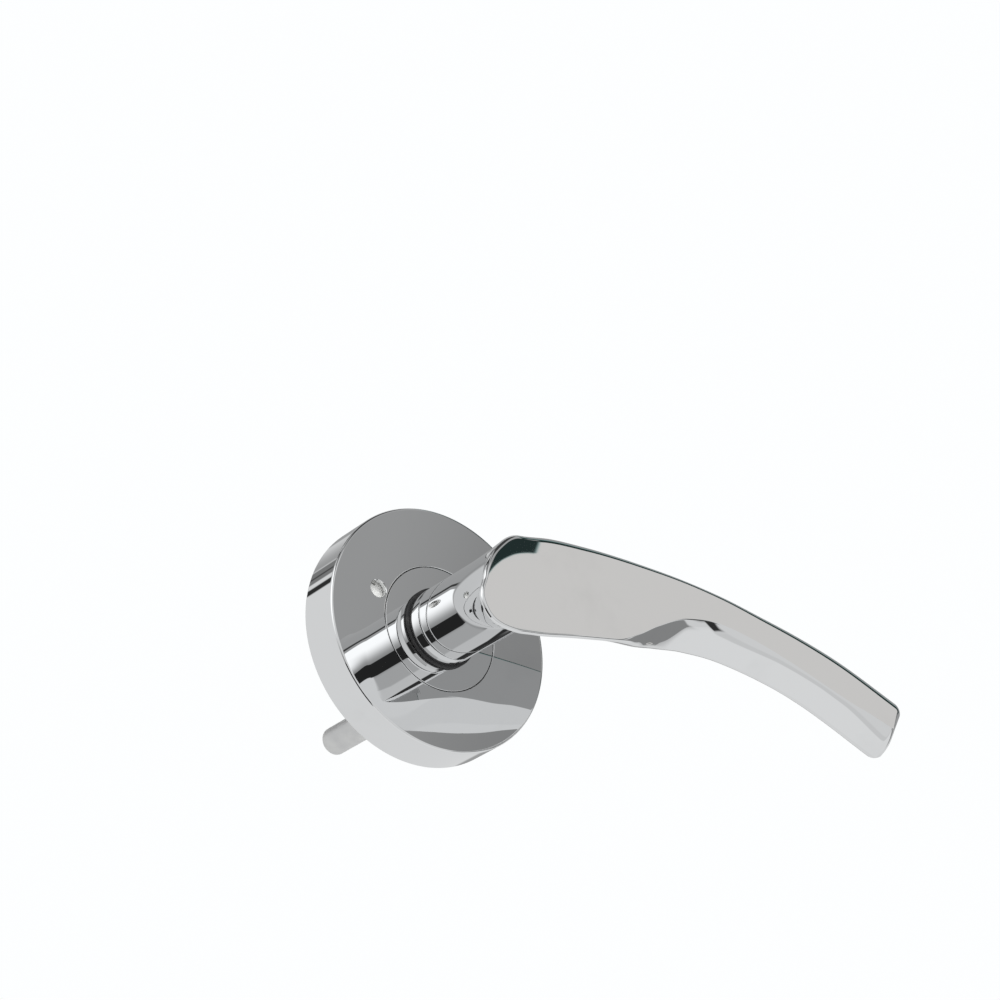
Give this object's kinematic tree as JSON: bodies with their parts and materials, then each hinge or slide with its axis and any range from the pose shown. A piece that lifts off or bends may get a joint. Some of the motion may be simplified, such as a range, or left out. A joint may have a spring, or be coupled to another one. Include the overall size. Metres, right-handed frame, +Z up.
{
  "type": "door lever handle",
  "caption": "Curved flat-fronted door lever on a round chrome rose with a sprung turning neck, square spindle and rear fixing posts.",
  "frame": {"origin": "spindle axis where it crosses the door face, at the back of the rose", "axes": "+X from the spindle along the lever to its tip, +Y into the door along the spindle, +Z up; the handle faces -Y"},
  "size_m": [0.1481, 0.071, 0.0674],
  "materials": {
    "chrome_cover": "bright chrome plate on brass sheet, mirror polish",
    "chrome_lever": "bright chrome plate on zinc casting, mirror polish",
    "zinc_post": "satin zinc casting",
    "spring_steel": "zinc-plated spring steel",
    "steel_plate": "zinc-plated pressed steel",
    "black_steel": "black oxide steel",
    "white_nylon": "moulded white nylon",
    "black_nylon": "moulded black nylon"
  },
  "bodies": {
    "rose": {"rose_cover": "chrome_cover", "rose_base": "white_nylon", "fixing_post_top": "zinc_post", "fixing_post_bottom": "zinc_post", "cover_snap_ring": "spring_steel", "cover_release_catch": "white_nylon", "cassette_lid": "steel_plate", "lid_screw_right": "steel_plate", "lid_screw_left": "steel_plate", "bearing_bush": "white_nylon", "return_spring": "spring_steel", "stop_pin_rest": "spring_steel", "stop_pin_pressed": "spring_steel", "spring_anchor_pin": "spring_steel"},
    "lever": {"lever": "chrome_lever", "neck_collar": "chrome_lever", "neck_ring": "black_nylon", "inner_disc": "chrome_cover", "thrust_washer": "white_nylon", "drive_plate": "steel_plate", "wave_washer": "spring_steel", "circlip": "black_steel", "grub_screw": "black_steel", "spindle": "steel_plate"}
  },
  "joints": [
    {"name": "lever_turn", "type": "hinge", "parent": "rose", "child": "lever", "pos_m": [0, 0, 0], "axis": [0, 1, 0], "range_deg": [0, 50], "stiffness_Nm_per_rad": 0.6, "springref_deg": -45.84, "deforming": ["return_spring"]}
  ]
}
